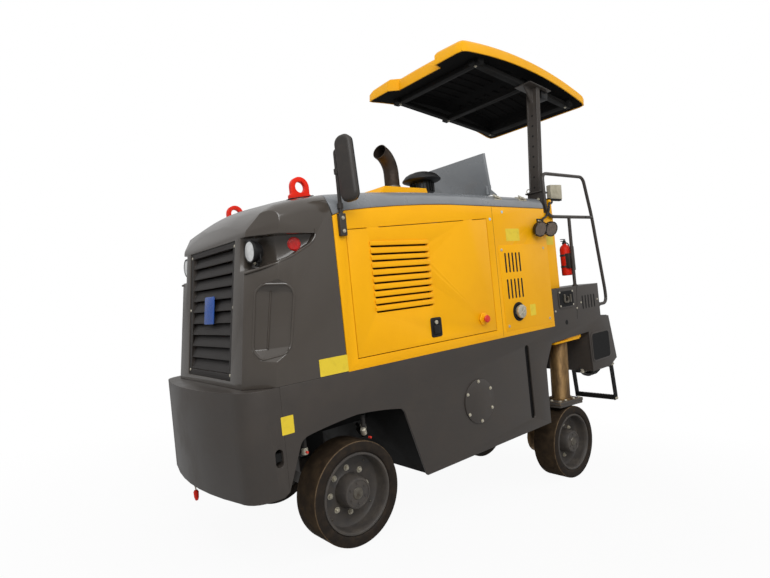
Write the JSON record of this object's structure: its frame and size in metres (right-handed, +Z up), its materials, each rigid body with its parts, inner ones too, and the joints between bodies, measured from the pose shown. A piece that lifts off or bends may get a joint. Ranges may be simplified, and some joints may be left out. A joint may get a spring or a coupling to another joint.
{
  "type": "cold planer milling machine",
  "caption": "Compact cold planer for road surfaces: side-mounted cutter drum between four solid-tyred wheels, boxy engine cover, rear operator platform with rails and a canopy on a mast.",
  "frame": {"origin": "middle of the machine's bounding box at ground level, under the wheels", "axes": "+Z up, -Y towards the front (grille end), +X towards the machine's left side"},
  "size_m": [1.3774, 3.7501, 3.4516],
  "materials": {
    "yellow_paint": "satin gloss",
    "graphite_paint": "satin gloss",
    "hood_grey_paint": "gloss",
    "red_paint": "gloss",
    "black_plastic": "matt black",
    "solid_rubber": "solid rubber, matt",
    "bare_steel": "bright worn",
    "brown_steel": "dusty brown film over steel",
    "lamp_glass": "clear moulded lens",
    "beige_paint": "satin"
  },
  "bodies": {
    "chassis": {"column_housing_left": "yellow_paint", "column_housing_right": "yellow_paint", "front_bumper": "graphite_paint", "nose_cover": "graphite_paint", "grille": "graphite_paint", "headlamp_left": "lamp_glass", "headlamp_right": "lamp_glass", "lifting_eye_left": "red_paint", "lifting_eye_right": "red_paint", "side_frame_left": "graphite_paint", "side_frame_right": "graphite_paint", "frame_deck": "graphite_paint", "hood": "hood_grey_paint", "hood_cover": "yellow_paint", "exhaust_pipe": "brown_steel", "intake_cap": "black_plastic", "side_panel_left": "yellow_paint", "side_panel_right": "yellow_paint", "engine": "graphite_paint", "mirror": "black_plastic", "console": "graphite_paint", "fender_left": "graphite_paint", "fender_right": "graphite_paint", "rear_fairing_left": "yellow_paint", "rear_fairing_right": "yellow_paint", "work_lamps": "black_plastic", "signal_lamp": "beige_paint", "rear_box": "graphite_paint", "step": "black_plastic", "guard_rail_left": "graphite_paint", "guard_rail_right": "graphite_paint", "extinguisher": "red_paint", "seat_base": "black_plastic", "seat_cushion": "black_plastic", "mast_sleeve": "graphite_paint", "front_axle": "graphite_paint", "drum_housing": "graphite_paint", "drum_drive": "graphite_paint"},
    "door_left": {"engine_door_left": "yellow_paint"},
    "door_right": {"engine_door_right": "yellow_paint"},
    "controls_lid": {"console_lid": "hood_grey_paint"},
    "canopy_body": {"canopy_mast": "graphite_paint", "canopy_frame": "black_plastic", "canopy": "yellow_paint"},
    "drum": {"cutter_drum": "bare_steel"},
    "leg_left": {"rear_leg_left": "brown_steel"},
    "leg_right": {"rear_leg_right": "brown_steel"},
    "wheel_rear_left": {"tyre_rear_left": "solid_rubber", "rim_rear_left": "graphite_paint"},
    "wheel_rear_right": {"tyre_rear_right": "solid_rubber", "rim_rear_right": "graphite_paint"},
    "wheel_front_left": {"tyre_front_left": "solid_rubber", "rim_front_left": "graphite_paint"},
    "wheel_front_right": {"tyre_front_right": "solid_rubber", "rim_front_right": "graphite_paint"},
    "knuckle_left_body": {"knuckle_left": "graphite_paint"},
    "knuckle_right_body": {"knuckle_right": "graphite_paint"},
    "rod": {"steering_rod": "bare_steel"}
  },
  "joints": [
    {"name": "drum_spin", "type": "hinge", "parent": "chassis", "child": "drum", "pos_m": [-0.4147, 0.47335, 0.38105], "axis": [1, 0, 0], "continuous": true},
    {"name": "door_left_lift", "type": "hinge", "parent": "chassis", "child": "door_left", "pos_m": [0.5153, -0.60283, 1.88969], "axis": [0, -0.9824, -0.1868], "range_deg": [0, 80]},
    {"name": "door_right_lift", "type": "hinge", "parent": "chassis", "child": "door_right", "pos_m": [-0.6847, -0.60283, 1.88969], "axis": [0, 0.9824, 0.1868], "range_deg": [0, 80]},
    {"name": "lid_close", "type": "hinge", "parent": "chassis", "child": "controls_lid", "pos_m": [-0.0847, 0.36532, 2.28453], "axis": [1, 0, 0], "range_deg": [-97, 0]},
    {"name": "canopy_height", "type": "slide", "parent": "chassis", "child": "canopy_body", "axis": [0, -0.0178, 0.9998], "range_m": [-0.35, 0]},
    {"name": "leg_left_lift", "type": "slide", "parent": "chassis", "child": "leg_left", "axis": [0, -0.0614, 0.9981], "range_m": [0, 0.3]},
    {"name": "leg_right_lift", "type": "slide", "parent": "chassis", "child": "leg_right", "axis": [0, -0.0614, 0.9981], "range_m": [0, 0.3]},
    {"name": "wheel_rear_left_spin", "type": "hinge", "parent": "leg_left", "child": "wheel_rear_left", "pos_m": [0.3953, 1.12083, 0.29], "axis": [1, 0, 0], "continuous": true},
    {"name": "wheel_rear_right_spin", "type": "hinge", "parent": "leg_right", "child": "wheel_rear_right", "pos_m": [-0.5647, 1.12083, 0.29], "axis": [1, 0, 0], "continuous": true},
    {"name": "steer_left", "type": "hinge", "parent": "chassis", "child": "knuckle_left_body", "pos_m": [0.2453, -1.09523, 0.29], "axis": [0, -0.1309, 0.9914], "range_deg": [-28, 28]},
    {"name": "steer_right", "type": "hinge", "parent": "chassis", "child": "knuckle_right_body", "pos_m": [-0.4147, -1.09523, 0.29], "axis": [0, -0.1309, 0.9914], "range_deg": [-28, 28]},
    {"name": "steer_rod_slide", "type": "slide", "parent": "chassis", "child": "rod", "axis": [1, 0, 0], "range_m": [-0.075, 0.075]},
    {"name": "wheel_front_left_spin", "type": "hinge", "parent": "knuckle_left_body", "child": "wheel_front_left", "pos_m": [0.3953, -1.09523, 0.29], "axis": [1, 0, 0], "continuous": true},
    {"name": "wheel_front_right_spin", "type": "hinge", "parent": "knuckle_right_body", "child": "wheel_front_right", "pos_m": [-0.5647, -1.09523, 0.29], "axis": [1, 0, 0], "continuous": true}
  ],
  "couplings": [
    {"joint": "steer_right", "follows": "steer_left", "ratio": 1},
    {"joint": "steer_rod_slide", "follows": "steer_left", "m_per_rad": -0.1441}
  ]
}
